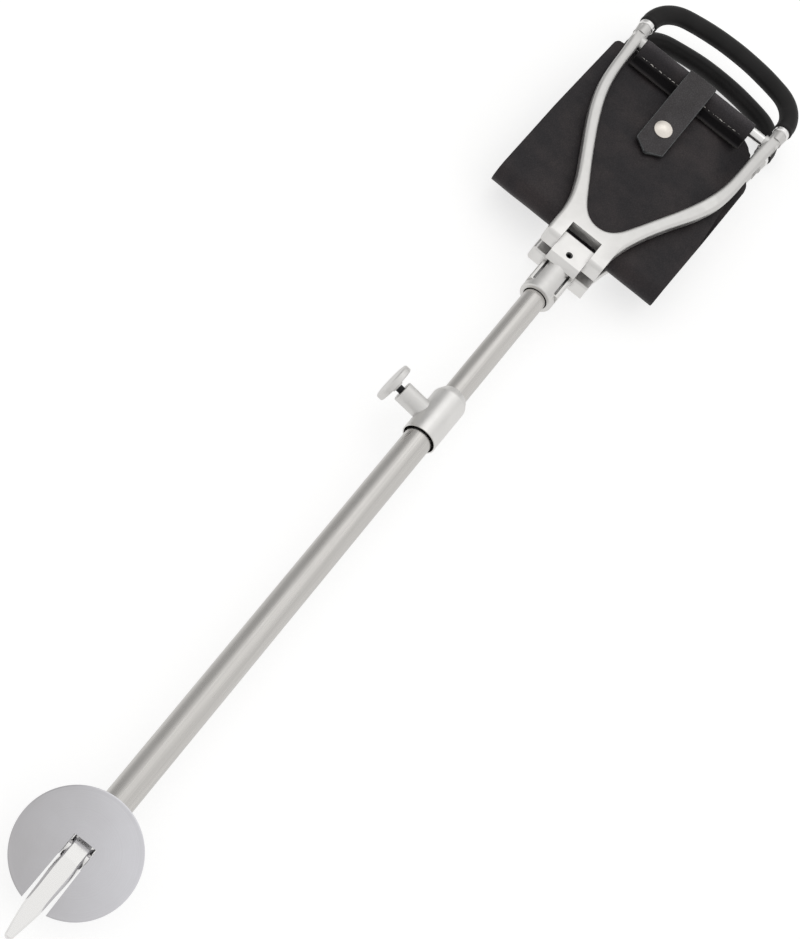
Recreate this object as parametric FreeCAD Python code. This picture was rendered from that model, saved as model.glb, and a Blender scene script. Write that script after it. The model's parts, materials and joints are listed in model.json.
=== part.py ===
import FreeCAD, Part
import math
import os

from FreeCAD import Vector

# Adjustable shooting stick: a telescopic walking stick whose two handles fold out
# into a leather sling seat, with a fold-away ground disc and a spike.
#
# Build coordinates, millimetres: +Y up the stick from the spike's tip, +X to the right,
# +Z to the front, where the snap strap closes. The stick lies on its back.
# Every shape is moved once, at export, so that the origin is the bottom centre of its box.

# --- stick ---------------------------------------------------------------------------------
OUTER_R = 11.1
OUTER_BORE_R = 10.1
INNER_R = 9.5
INNER_BORE_R = 8.1
RUN = 0.05                     # radial running clearance
TUBE_FOOT_Y = 84.0
TUBE_TOP_Y = 528.0
INNER_FOOT_Y = 408.0
BUSH_LENGTH = 30.0

# --- spike and ground disc -----------------------------------------------------------------
PIVOT_Y = 74.5
PIVOT_R = 2.5
SPIKE_TIP_R = 3.2
SPIKE_ROOT_R = 8.3
SPIKE_CURVE = [(SPIKE_TIP_R, 3.0), (4.6, 12.0), (6.5, 26.0), (7.2, 40.0), (8.0, 54.0), (SPIKE_ROOT_R, 66.0)]
SPIKE_FLATS = [(-5.0, 1.9), (66.0, 6.2)]   # (y, half thickness): the spike is ground flat front and back
SPIKE_CHEEK_X = 8.6            # half width of the cheeks that the disc's ears turn on
PLUG_LENGTH = 34.0
DISC_R = 44.0
DISC_THICK = 3.0
DISC_BACK = 7.0                # pivot axis to the disc's back face
DISC_DISH = 0.6                # how much hollower the disc is at its centre
DISC_REST_DEG = 23.0           # tilt of the folded disc from the stick's axis
SLOT_TOP = 9.4                 # closed end of the slot, past the disc's centre
SLOT_TOP_HALF = 8.9
SLOT_MOUTH_HALF = 10.0
EAR_X0 = 8.9
EAR_X1 = 12.0
EAR_R = 9.2
EAR_STOP = 9.4                 # square corner that meets the tube's end when the disc is open

# --- clamp collar --------------------------------------------------------------------------
COLLAR_R = 13.8
COLLAR_FOOT_Y = 491.7
COLLAR_SHOULDER_Y = 534.5
COLLAR_TOP_Y = 540.0
COLLAR_CONE_R = 10.6
SCREW_Y = 512.2
SCREW_TURN_DEG = 9.0           # the clamp screw points left and a little to the front
BOSS_R = 8.3
BOSS_END = 32.0
SCREW_R = 3.0
KNOB_R = 15.6
KNOB_IN = 37.8
KNOB_OUT = 43.2
PAD_R = 4.0

# --- hinge block -----------------------------------------------------------------------------
HEEL_Y = 699.8                 # flat bottoms of the folded yokes
SOCKET_FOOT_Y = 657.6
SOCKET_R = 13.8
BLOCK_HALF_X = 13.8
BLOCK_HALF_Z = 17.4
BLOCK_TOP_H = 15.4             # heights H are measured up from HEEL_Y
BLOCK_FOOT_H = -9.3
BLOCK_CHAMFER = 2.2
SCREW_SEAT_R = 2.9
SCREW_SEAT_DEPTH = 1.2
PIN_H = 7.0
PIN_Z = 12.5
PIN_R = 3.0

# --- yokes -----------------------------------------------------------------------------------
LEG_X0 = 13.95
LEG_X1 = 26.7
YOKE_FRONT_Z = 22.9
YOKE_BACK_Z = 12.3
HEEL_BACK_Z = 5.8
HEEL_CORNER_R = 4.0
NOTCH_TOP_H = 20.6
ARM_FILLET = 3.0
ARM_TOP_H = 222.5
SOCKET_TOP_H = 224.0           # round sockets at the arms' ends, for the grip cores
# Outlines of the forked arms, (x, h). The right arm bows a little wider than the left one.
OUTER_LEFT = [(-LEG_X1, 24.0), (-27.4, 34.0), (-30.3, 48.0), (-42.9, 80.0), (-52.0, 100.0), (-63.8, 130.0),
              (-67.8, 145.0), (-70.8, 166.0), (-72.0, 187.0), (-73.6, 208.0), (-75.2, ARM_TOP_H)]
OUTER_RIGHT = [(LEG_X1, 16.0), (28.6, 27.0), (30.6, 35.0), (34.8, 48.0), (48.6, 80.0), (58.3, 100.0),
               (67.8, 130.0), (69.8, 146.0), (70.6, 166.0), (71.6, 187.0), (73.2, 208.0), (75.2, ARM_TOP_H)]
INNER_LEFT = [(-3.4, 33.8), (-11.2, 40.0), (-18.4, 52.0), (-32.4, 80.0), (-48.0, 115.0), (-58.2, 145.0),
              (-62.0, 167.0), (-63.3, 190.0), (-63.6, 208.0), (-63.8, ARM_TOP_H)]
INNER_RIGHT = [(8.8, 33.8), (16.6, 40.0), (23.5, 52.0), (36.7, 80.0), (51.5, 115.0), (59.3, 145.0),
               (61.0, 167.0), (61.6, 190.0), (62.6, 208.0), (63.8, ARM_TOP_H)]
CROTCH = (2.7, 32.6)

# --- seat bars and grips -----------------------------------------------------------------------
BAR_H = 210.0
BAR_Z = 17.5
BAR_R = 4.5
BAR_HALF = 66.0
BAR_BOSS_R = 6.0
BAR_BOSS_IN = 61.0
GRIP_X = 69.0
GRIP_Z = 19.0
GRIP_TOP_H = 266.2
GRIP_FOOT_H = 228.6
GRIP_CORNER_R = 28.0
GRIP_ARCH_R = 190.0
GRIP_R = 7.8
CORE_R = 4.6
CORE_FOOT_H = 216.0
FERRULE_R = 6.7

# --- leather ---------------------------------------------------------------------------------
LEATHER_X = -6.9               # the sling sits a little to the left on its bars
LEATHER_T = 2.8
SEAT_HALF_X = 78.0
SLEEVE_X = -5.9
SLEEVE_HALF_X = 55.0
SLEEVE_R = 6.5
FOLD_H = 35.0
FOLD_Z = 9.4                   # mid-surface of the leather at the fold
PANEL_TOP_H = 200.0
PANEL_TOP_Z = 12.3
HEM_H = 188.5
FOLD_GAP = 0.05
STITCH_H = 200.0
STITCH_Z = 17.9
STITCH_PITCH = 4.4
STITCH_LENGTH = 3.2
STITCH_R = 0.35

# --- strap and snap --------------------------------------------------------------------------
STRAP_X = -6.0
STRAP_HALF_X = 13.2
STRAP_T = 2.2
STRAP_TOP_H = 217.9
STRAP_FRONT_Z = 25.4
STRAP_TIP_H = 125.5
STRAP_SHOULDER_H = 132.5
STRAP_TIP_Z = 14.9
STRAP_BEND = (176.0, 22.2)     # below this point (h, z) the flap hangs straight
STRAP_ROOT_H = 152.0
SNAP_H = 152.0
CAP_R = 7.5
CAP_EDGE = 0.7
CAP_DOME = 1.8
RIVET_H = (160.0, 172.0)


def tube_y(radius, y0, y1, x=0.0, z=0.0):
    """A solid cylinder along Y."""
    return Part.makeCylinder(radius, y1 - y0, Vector(x, y0, z), Vector(0, 1, 0))


def rod_x(radius, x0, x1, y, z):
    """A solid cylinder along X."""
    return Part.makeCylinder(radius, x1 - x0, Vector(x0, y, z), Vector(1, 0, 0))


def rod_z(radius, z0, z1, x, y):
    """A solid cylinder along Z."""
    return Part.makeCylinder(radius, z1 - z0, Vector(x, y, z0), Vector(0, 0, 1))


def box(x0, x1, y0, y1, z0, z1):
    return Part.makeBox(x1 - x0, y1 - y0, z1 - z0, Vector(x0, y0, z0))


def revolve_y(profile):
    """Revolve closed (radius, y) points about the stick's axis."""
    points = [Vector(r, y, 0) for r, y in profile]
    face = Part.Face(Part.makePolygon(points + [points[0]]))
    return face.revolve(Vector(0, 0, 0), Vector(0, 1, 0), 360)


def mirror_z(shape):
    """The back half's copy of a front piece."""
    return shape.mirror(Vector(0, 0, 0), Vector(0, 0, 1))


def turned_about_stick(shape, degrees):
    copy = shape.copy()
    copy.rotate(Vector(0, 0, 0), Vector(0, 1, 0), degrees)
    return copy


def filleted(shape, radius, chosen):
    """Round the edges that the test picks, or give back the sharp shape if it can't be done."""
    edges = [edge for edge in shape.Edges if chosen(edge)]
    try:
        rounded = shape.makeFillet(radius, edges)
    except Exception:
        return shape
    return rounded if rounded.isValid() and rounded.Volume > 0.5 * shape.Volume else shape


# --- stick pieces ------------------------------------------------------------------------------
def outer_tube():
    tube = tube_y(OUTER_R, TUBE_FOOT_Y, TUBE_TOP_Y).cut(tube_y(OUTER_BORE_R, TUBE_FOOT_Y - 1, TUBE_TOP_Y + 1))
    pad_hole = Part.makeCylinder(PAD_R + 0.3, 20, Vector(0, SCREW_Y, 0), Vector(-1, 0, 0))
    pin_hole = rod_z(2.0, -20, 20, 0, TUBE_FOOT_Y + PLUG_LENGTH / 2)
    return tube.cut(turned_about_stick(pad_hole, SCREW_TURN_DEG)).cut(pin_hole)


def inner_tube():
    top = HEEL_Y + 3.0
    tube = tube_y(INNER_R, INNER_FOOT_Y, top).cut(tube_y(INNER_BORE_R, INNER_FOOT_Y - 1, top + 1))
    return tube.cut(rod_z(2.6, 0, 20, 0, HEEL_Y - 3.0))


def guide_bush():
    """Flanged plug: its skirt slides in the outer tube and its stem turns in the inner tube."""
    skirt = tube_y(OUTER_BORE_R - RUN, INNER_FOOT_Y - 14, INNER_FOOT_Y - RUN)
    stem = tube_y(INNER_BORE_R - RUN, INNER_FOOT_Y - 2, INNER_FOOT_Y + BUSH_LENGTH)
    return skirt.fuse(stem).cut(tube_y(4.0, INNER_FOOT_Y - 20, INNER_FOOT_Y + 60)).removeSplitter()


def ground_spike():
    curve = Part.BSplineCurve()
    curve.interpolate([Vector(r, y, 0) for r, y in SPIKE_CURVE])
    tip = Part.Arc(Vector(0, 0, 0), Vector(SPIKE_TIP_R * 0.74, 1.0, 0), Vector(SPIKE_TIP_R, 3.0, 0))
    plug_r = OUTER_BORE_R - 0.02
    plug_top = TUBE_FOOT_Y + PLUG_LENGTH
    top = [(SPIKE_ROOT_R, SPIKE_CURVE[-1][1]), (SPIKE_ROOT_R, TUBE_FOOT_Y), (plug_r, TUBE_FOOT_Y),
           (plug_r, plug_top), (0, plug_top), (0, 0)]
    top = [Vector(r, y, 0) for r, y in top]
    edges = [tip.toShape(), curve.toShape()]
    edges += [Part.makeLine(a, b) for a, b in zip(top, top[1:])]
    body = Part.Face(Part.Wire(edges)).revolve(Vector(0, 0, 0), Vector(0, 1, 0), 360)
    body = body.cut([flat_cutter(1), flat_cutter(-1)])
    cheeks = rod_x(5.5, -SPIKE_CHEEK_X, SPIKE_CHEEK_X, PIVOT_Y, 0)
    holes = rod_x(PIVOT_R, -20, 20, PIVOT_Y, 0).fuse(rod_z(2.0, -20, 20, 0, TUBE_FOOT_Y + PLUG_LENGTH / 2))
    return body.fuse(cheeks).cut(holes)


def flat_cutter(sign):
    """What is ground off the spike's front (1) or back (-1)."""
    (low_y, low_z), (high_y, high_z) = SPIKE_FLATS
    end_y = TUBE_FOOT_Y - 1.0
    side = [(low_y, low_z), (high_y, high_z), (end_y, high_z), (end_y, 20.0), (low_y, 20.0)]
    points = [Vector(-20, y, sign * z) for y, z in side]
    return Part.Face(Part.makePolygon(points + [points[0]])).extrude(Vector(40, 0, 0))


def spike_pin():
    return rod_z(1.98, -OUTER_R + 0.1, OUTER_R - 0.1, 0, TUBE_FOOT_Y + PLUG_LENGTH / 2)


def disc_pivot_pin():
    shank = rod_x(PIVOT_R - 0.02, -EAR_X1 - 1.6, EAR_X1 + 1.6, PIVOT_Y, 0)
    heads = [rod_x(4.0, x0, x0 + 1.5, PIVOT_Y, 0) for x0 in (-EAR_X1 - 1.6, EAR_X1 + 0.1)]
    return shank.fuse(heads)


def ground_disc():
    """Slotted dished disc with two ears, drawn facing +Z about the pivot, then tilted."""
    front = DISC_BACK + DISC_THICK
    dish = [Vector(0, 0, DISC_BACK - DISC_DISH), Vector(DISC_R - 3, 0, DISC_BACK), Vector(DISC_R, 0, DISC_BACK + 0.8),
            Vector(DISC_R, 0, front - 0.5), Vector(DISC_R - 0.9, 0, front), Vector(DISC_R - 3, 0, front - 0.2),
            Vector(0, 0, front - 0.4 - DISC_DISH)]
    face = Part.Face(Part.makePolygon(dish + [dish[0]]))
    disc = face.revolve(Vector(0, 0, 0), Vector(0, 0, 1), 360)
    slot = [Vector(-SLOT_TOP_HALF, SLOT_TOP, 0), Vector(SLOT_TOP_HALF, SLOT_TOP, 0),
            Vector(SLOT_MOUTH_HALF, -DISC_R - 5, 0), Vector(-SLOT_MOUTH_HALF, -DISC_R - 5, 0)]
    slot_tool = Part.Face(Part.makePolygon(slot + [slot[0]])).extrude(Vector(0, 0, 20))
    disc = disc.cut(slot_tool)
    disc = disc.fuse([ear(EAR_X0), ear(-EAR_X1)])
    disc = disc.cut(rod_x(PIVOT_R + 0.05, -20, 20, 0, 0)).removeSplitter()
    disc.rotate(Vector(0, 0, 0), Vector(1, 0, 0), DISC_REST_DEG)
    disc.translate(Vector(0, PIVOT_Y, 0))
    return disc


def ear(x0):
    """Side profile (y, z): round towards the tube, square on the side that stops it."""
    stop = [Vector(x0, 0, DISC_BACK), Vector(x0, EAR_R, DISC_BACK), Vector(x0, EAR_R, 0)]
    turn = EAR_R * math.sqrt(0.5)
    arc = Part.Arc(Vector(x0, EAR_R, 0), Vector(x0, turn, -turn), Vector(x0, 0, -EAR_R))
    rest = [Vector(x0, 0, -EAR_R), Vector(x0, 0, -EAR_STOP), Vector(x0, -5.0, -EAR_STOP),
            Vector(x0, -7.0, DISC_BACK), Vector(x0, 0, DISC_BACK)]
    edges = [Part.makeLine(a, b) for a, b in zip(stop, stop[1:])] + [arc.toShape()]
    edges += [Part.makeLine(a, b) for a, b in zip(rest, rest[1:])]
    return Part.Face(Part.Wire(edges)).extrude(Vector(EAR_X1 - EAR_X0, 0, 0))


# --- clamp -----------------------------------------------------------------------------------
def along_screw(shape):
    """Turn a piece drawn with its screw axis on -X to where the clamp screw points."""
    return turned_about_stick(shape, SCREW_TURN_DEG)


def clamp_collar():
    lip_r = COLLAR_R - 0.9
    outside = [(0, COLLAR_FOOT_Y), (COLLAR_R, COLLAR_FOOT_Y), (COLLAR_R, COLLAR_SHOULDER_Y - 1.5),
               (COLLAR_R - 0.4, COLLAR_SHOULDER_Y), (COLLAR_CONE_R + 0.3, COLLAR_TOP_Y - 0.4),
               (COLLAR_CONE_R, COLLAR_TOP_Y), (0, COLLAR_TOP_Y)]
    body = revolve_y(outside)
    boss = rod_x(BOSS_R, -BOSS_END, 0, SCREW_Y, 0)
    boss = filleted(boss, 0.8, lambda edge: edge.CenterOfMass.x < -BOSS_END + 0.1)
    body = body.fuse(along_screw(boss))
    bores = [tube_y(OUTER_R + 0.02, COLLAR_FOOT_Y - 1, TUBE_TOP_Y), tube_y(INNER_R + RUN, TUBE_TOP_Y - 1, 600),
             tube_y(lip_r, COLLAR_FOOT_Y - 1, COLLAR_FOOT_Y + 7)]
    screw_hole = along_screw(rod_x(SCREW_R + 0.03, -BOSS_END - 1, -OUTER_R + 1, SCREW_Y, 0))
    pad_hole = along_screw(rod_x(PAD_R + 0.3, -OUTER_R - 4.6, -OUTER_R + 1, SCREW_Y, 0))
    return body.cut(bores + [screw_hole, pad_hole]).removeSplitter()


def clamp_pad():
    inside = -OUTER_R - 2.0
    pad = rod_x(PAD_R, inside, -INNER_R + 1.5, SCREW_Y, 0)
    pad = pad.cut(tube_y(INNER_R + 0.03, SCREW_Y - 20, SCREW_Y + 20))
    return along_screw(pad)


def thumb_screw():
    inside = -OUTER_R - 2.0 - 0.02
    return along_screw(rod_x(SCREW_R, -KNOB_IN - 5, inside, SCREW_Y, 0))


def thumb_knob():
    disc = rod_x(KNOB_R, -KNOB_OUT, -KNOB_IN, SCREW_Y, 0)
    disc = filleted(disc, 1.6, lambda edge: abs(edge.CenterOfMass.x + KNOB_OUT) < 0.1)
    disc = filleted(disc, 1.0, lambda edge: abs(edge.CenterOfMass.x + KNOB_IN) < 0.1)
    neck = rod_x(4.6, -KNOB_IN - 0.5, -KNOB_IN + 2.0, SCREW_Y, 0)
    knob = disc.fuse(neck).cut(rod_x(SCREW_R + 0.01, -KNOB_IN - 5.02, 0, SCREW_Y, 0))
    return along_screw(knob)


# --- hinge block -------------------------------------------------------------------------------
def hinge_block():
    h = HEEL_Y
    shoulder = h + BLOCK_TOP_H - BLOCK_CHAMFER
    flat = BLOCK_HALF_Z - BLOCK_CHAMFER
    side = [(shoulder, BLOCK_HALF_Z), (h + BLOCK_TOP_H, flat), (h + BLOCK_TOP_H, -flat), (shoulder, -BLOCK_HALF_Z),
            (h + BLOCK_FOOT_H, -BLOCK_HALF_Z), (h + BLOCK_FOOT_H - 6, -SOCKET_R + 0.8),
            (h + BLOCK_FOOT_H - 6, SOCKET_R - 0.8), (h + BLOCK_FOOT_H, BLOCK_HALF_Z)]
    points = [Vector(-BLOCK_HALF_X, y, z) for y, z in side]
    head = Part.Face(Part.makePolygon(points + [points[0]])).extrude(Vector(2 * BLOCK_HALF_X, 0, 0))
    webs = box(-BLOCK_HALF_X, BLOCK_HALF_X, h - 36, h + BLOCK_FOOT_H, -9.4, 9.4)
    webs = filleted(webs, 1.5, lambda edge: abs(edge.CenterOfMass.y - h + 22.6) < 2)
    socket = tube_y(SOCKET_R, SOCKET_FOOT_Y, h)
    socket = filleted(socket, 1.2, lambda edge: abs(edge.CenterOfMass.y - SOCKET_FOOT_Y) < 0.1)
    body = head.fuse([webs, socket])
    grooves = [box(x0, x0 + 1.9, h - 35, h - 13.5, z0, z0 + 7)
               for x0 in (-11.0, 9.1) for z0 in (5.8, -12.8)]
    bores = [tube_y(INNER_R + 0.02, SOCKET_FOOT_Y - 1, h + 3.2),
             tube_y(INNER_R + 0.75, SOCKET_FOOT_Y - 1, SOCKET_FOOT_Y + 5)]
    pin_bores = [rod_x(PIN_R + RUN, -20, 20, h + PIN_H, z) for z in (PIN_Z, -PIN_Z)]
    screw_seat = [rod_z(2.6, 0, 20, 0, h - 3.0), rod_z(SCREW_SEAT_R, BLOCK_HALF_Z - SCREW_SEAT_DEPTH, 20, 0, h - 3.0)]
    return body.cut(grooves + bores + pin_bores + screw_seat).removeSplitter()


def socket_screw():
    shank = rod_z(2.58, INNER_BORE_R + 0.3, BLOCK_HALF_Z - SCREW_SEAT_DEPTH - 0.2, 0, HEEL_Y - 3.0)
    return shank.cut(rod_z(1.5, BLOCK_HALF_Z - 4.0, 20, 0, HEEL_Y - 3.0))


def front_hinge_pin():
    return rod_x(PIN_R, -LEG_X1 + 0.2, LEG_X1 - 0.2, HEEL_Y + PIN_H, PIN_Z)


# --- yokes -----------------------------------------------------------------------------------
def spline(points):
    curve = Part.BSplineCurve()
    curve.interpolate(points)
    return curve.toShape()


def yoke_outline():
    """The forked outline in the XY plane, from the notch round both arms."""
    def raised(points):
        return [Vector(x, HEEL_Y + h, 0) for x, h in points]
    low = HEEL_Y - 5.0
    right_out = raised(OUTER_RIGHT)
    left_out = raised(OUTER_LEFT)
    inner = raised(INNER_LEFT[::-1] + [CROTCH] + INNER_RIGHT)
    notch = [Vector(-LEG_X1, low, 0), Vector(-LEG_X0, low, 0), Vector(-LEG_X0, HEEL_Y + NOTCH_TOP_H, 0),
             Vector(LEG_X0, HEEL_Y + NOTCH_TOP_H, 0), Vector(LEG_X0, low, 0), Vector(LEG_X1, low, 0)]
    edges = [Part.makeLine(a, b) for a, b in zip(notch, notch[1:])]
    edges += [Part.makeLine(notch[-1], right_out[0]), spline(right_out), Part.makeLine(right_out[-1], inner[-1]),
              spline(inner[::-1]), Part.makeLine(inner[0], left_out[-1]), spline(left_out[::-1]),
              Part.makeLine(left_out[0], notch[0])]
    return Part.Face(Part.Wire(edges))


def yoke_side():
    """The side profile (h, z): heel at the foot, then a bar that leans out to the grip."""
    r = HEEL_CORNER_R
    dip = r * (1 - math.sqrt(0.5))
    def at(h, z):
        return Vector(-90, HEEL_Y + h, z)
    outer_corner = Part.Arc(at(0, YOKE_FRONT_Z - r), at(dip, YOKE_FRONT_Z - dip), at(r, YOKE_FRONT_Z))
    inner_corner = Part.Arc(at(2.0, HEEL_BACK_Z), at(0.6, HEEL_BACK_Z + 0.6), at(0, HEEL_BACK_Z + 2.0))
    run = [at(r, YOKE_FRONT_Z), at(120, YOKE_FRONT_Z), at(ARM_TOP_H, GRIP_Z + 4.9),
           at(ARM_TOP_H, GRIP_Z - 4.7), at(120, YOKE_BACK_Z + 0.5), at(NOTCH_TOP_H - 2, YOKE_BACK_Z),
           at(NOTCH_TOP_H - 5.5, HEEL_BACK_Z), at(2.0, HEEL_BACK_Z)]
    edges = [outer_corner.toShape()] + [Part.makeLine(a, b) for a, b in zip(run, run[1:])]
    edges += [inner_corner.toShape(), Part.makeLine(at(0, HEEL_BACK_Z + 2.0), at(0, YOKE_FRONT_Z - r))]
    return Part.Face(Part.Wire(edges)).extrude(Vector(180, 0, 0))


def front_yoke():
    flat = yoke_outline().extrude(Vector(0, 0, 40))
    flat.translate(Vector(0, 0, 0.5))
    yoke = filleted(flat.common(yoke_side()), ARM_FILLET, is_arm_edge)
    for sign in (1, -1):
        ends = sorted((sign * BAR_BOSS_IN, sign * (GRIP_X + 4.6)))
        yoke = yoke.fuse(rod_x(BAR_BOSS_R, ends[0], ends[1], HEEL_Y + BAR_H, BAR_Z))
        yoke = yoke.fuse(tube_y(FERRULE_R - 0.9, HEEL_Y + ARM_TOP_H - 8, HEEL_Y + SOCKET_TOP_H,
                                sign * GRIP_X, GRIP_Z))
    holes = [rod_x(PIN_R + 0.005, -40, 40, HEEL_Y + PIN_H, PIN_Z),
             rod_x(BAR_R + 0.005, -BAR_HALF, BAR_HALF, HEEL_Y + BAR_H, BAR_Z)]
    holes += [tube_y(CORE_R + 0.02, HEEL_Y + CORE_FOOT_H - 0.1, HEEL_Y + 300, s * GRIP_X, GRIP_Z) for s in (1, -1)]
    for hole in holes:
        yoke = yoke.cut(hole)
    return yoke


def is_arm_edge(edge):
    """The long edges along the arms, clear of the heel and of the cut top."""
    centre = edge.CenterOfMass
    return edge.Length > 40 and HEEL_Y + 40 < centre.y < HEEL_Y + ARM_TOP_H - 2


# --- seat bars and grips -------------------------------------------------------------------------
def front_seat_bar():
    return rod_x(BAR_R, -BAR_HALF + 0.02, BAR_HALF - 0.02, HEEL_Y + BAR_H, BAR_Z)


def arch_path(foot_h):
    """Grip centre line: two straight feet, two tight corners and one long shallow arch."""
    centre_h = GRIP_TOP_H - GRIP_ARCH_R
    corner_x = GRIP_X - GRIP_CORNER_R
    reach = GRIP_ARCH_R - GRIP_CORNER_R
    corner_h = centre_h + math.sqrt(reach ** 2 - corner_x ** 2)
    lean = math.asin(corner_x / reach)

    def at(x, h):
        return Vector(x, HEEL_Y + h, GRIP_Z)

    def corner(sign, angle):
        return at(sign * (corner_x + GRIP_CORNER_R * math.sin(angle)), corner_h + GRIP_CORNER_R * math.cos(angle))
    middle = (lean + math.pi / 2) / 2
    edges = [Part.makeLine(at(-GRIP_X, foot_h), at(-GRIP_X, corner_h)),
             Part.Arc(at(-GRIP_X, corner_h), corner(-1, middle), corner(-1, lean)).toShape(),
             Part.Arc(corner(-1, lean), at(0, GRIP_TOP_H), corner(1, lean)).toShape(),
             Part.Arc(corner(1, lean), corner(1, middle), at(GRIP_X, corner_h)).toShape(),
             Part.makeLine(at(GRIP_X, corner_h), at(GRIP_X, foot_h))]
    return Part.Wire(edges)


def swept_arch(radius, foot_h):
    circle = Part.Wire(Part.Circle(Vector(-GRIP_X, HEEL_Y + foot_h, GRIP_Z), Vector(0, 1, 0), radius).toShape())
    return arch_path(foot_h).makePipeShell([circle], True, False)


def front_grip_core():
    return swept_arch(CORE_R, CORE_FOOT_H)


def front_grip_cover():
    return swept_arch(GRIP_R, GRIP_FOOT_H).cut(swept_arch(CORE_R + 0.02, GRIP_FOOT_H - 1))


def front_grip_ferrules():
    rings = []
    for sign in (1, -1):
        ring = tube_y(FERRULE_R, HEEL_Y + SOCKET_TOP_H + 0.02, HEEL_Y + GRIP_FOOT_H - 0.02, sign * GRIP_X, GRIP_Z)
        ring = filleted(ring, 1.2, lambda edge: edge.CenterOfMass.y < HEEL_Y + SOCKET_TOP_H + 0.1)
        rings.append(ring.cut(tube_y(CORE_R + 0.02, HEEL_Y + 200, HEEL_Y + 260, sign * GRIP_X, GRIP_Z)))
    return Part.Compound(rings)


# --- leather ---------------------------------------------------------------------------------
def side_slab(line, thickness, x0, x1):
    """A leather strip: (h, z) mid-surface points, given a thickness and a width along X."""
    left, right = [], []
    for i, (h, z) in enumerate(line):
        before = line[max(i - 1, 0)]
        after = line[min(i + 1, len(line) - 1)]
        run_h, run_z = after[0] - before[0], after[1] - before[1]
        size = math.hypot(run_h, run_z) * 2 / thickness
        left.append(Vector(x0, HEEL_Y + h - run_z / size, z + run_h / size))
        right.append(Vector(x0, HEEL_Y + h + run_z / size, z - run_h / size))
    outline = left + right[::-1]
    return Part.Face(Part.makePolygon(outline + [outline[0]])).extrude(Vector(x1 - x0, 0, 0))


def front_seat_leather():
    """Panel, sleeve round the bar, and the hem that is sewn down below it."""
    panel = side_slab([(FOLD_H + FOLD_GAP, FOLD_Z), (PANEL_TOP_H, PANEL_TOP_Z)], LEATHER_T,
                      LEATHER_X - SEAT_HALF_X, LEATHER_X + SEAT_HALF_X)
    x0, x1 = SLEEVE_X - SLEEVE_HALF_X, SLEEVE_X + SLEEVE_HALF_X
    back_z = PANEL_TOP_Z - LEATHER_T / 2
    hem = [(HEM_H, 15.2), (HEM_H + 2, 16.2), (199.0, 16.9), (204.5, 19.0), (206.0, 14.0), (204.0, back_z),
           (196.0, back_z + 0.6), (HEM_H, 12.6)]
    points = [Vector(x0, HEEL_Y + h, z) for h, z in hem]
    tail = Part.Face(Part.makePolygon(points + [points[0]])).extrude(Vector(x1 - x0, 0, 0))
    sleeve = rod_x(SLEEVE_R, x0, x1, HEEL_Y + BAR_H, BAR_Z)
    bore = rod_x(BAR_R + RUN, x0 - 1, x1 + 1, HEEL_Y + BAR_H, BAR_Z)
    return panel.fuse([tail, sleeve]).cut(bore).removeSplitter()


def front_seat_fold():
    """A quarter turn of leather from the panel's foot to the middle of the sling."""
    quarter = [(FOLD_H - FOLD_Z * math.sin(a), FOLD_Z * math.cos(a))
               for a in [math.radians(9 * i) for i in range(11)]]
    fold = side_slab(quarter, LEATHER_T, LEATHER_X - SEAT_HALF_X, LEATHER_X + SEAT_HALF_X)
    fold = fold.cut(box(-200, 200, HEEL_Y, HEEL_Y + 60, -30, FOLD_GAP))
    return fold.cut(box(-200, 200, HEEL_Y + FOLD_H, HEEL_Y + 60, -30, 30))


def front_stitching():
    """One row of thread stitches along the hem."""
    count = int(2 * (SLEEVE_HALF_X - 4) / STITCH_PITCH)
    first = SLEEVE_X - (count - 1) * STITCH_PITCH / 2
    stitches = []
    for i in range(count):
        x = first + i * STITCH_PITCH
        stitches.append(rod_x(STITCH_R, x - STITCH_LENGTH / 2, x + STITCH_LENGTH / 2, HEEL_Y + STITCH_H,
                              STITCH_Z))
    return Part.Compound(stitches)


# --- strap and snap --------------------------------------------------------------------------
def panel_z(h):
    """Mid-surface of the front panel at height h."""
    share = (h - FOLD_H) / (PANEL_TOP_H - FOLD_H)
    return FOLD_Z + share * (PANEL_TOP_Z - FOLD_Z)


def root_z(h):
    """Mid-surface of the strap where it lies on the back panel."""
    return -panel_z(h) - LEATHER_T / 2 - STRAP_T / 2 - 0.1


STRAP_BACK = [(STRAP_ROOT_H, root_z(STRAP_ROOT_H)), (178.0, root_z(178.0)), (188.3, -17.4), (196.0, -20.0),
              (205.0, -24.9), (211.5, -STRAP_FRONT_Z), (215.9, -23.6), (STRAP_TOP_H, -19.6),
              (STRAP_TOP_H, -18.5)]
STRAP_FLAP = [(STRAP_TOP_H, -18.3), (STRAP_TOP_H, 18.5), (215.9, 23.6), (211.5, STRAP_FRONT_Z),
              (206.0, STRAP_FRONT_Z), (190.0, 24.1), STRAP_BEND, (STRAP_TIP_H, STRAP_TIP_Z)]
SNAP_SLOPE = (STRAP_BEND[1] - STRAP_TIP_Z) / (STRAP_BEND[0] - STRAP_TIP_H)
SNAP_Z = STRAP_TIP_Z + SNAP_SLOPE * (SNAP_H - STRAP_TIP_H)     # middle of the strap's thickness at the snap


def square_to_strap(shape):
    """Lean a piece drawn along Z at the snap so that it stands square on the strap."""
    shape.rotate(Vector(STRAP_X, HEEL_Y + SNAP_H, SNAP_Z), Vector(1, 0, 0), math.degrees(math.atan(SNAP_SLOPE)))
    return shape


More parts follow.
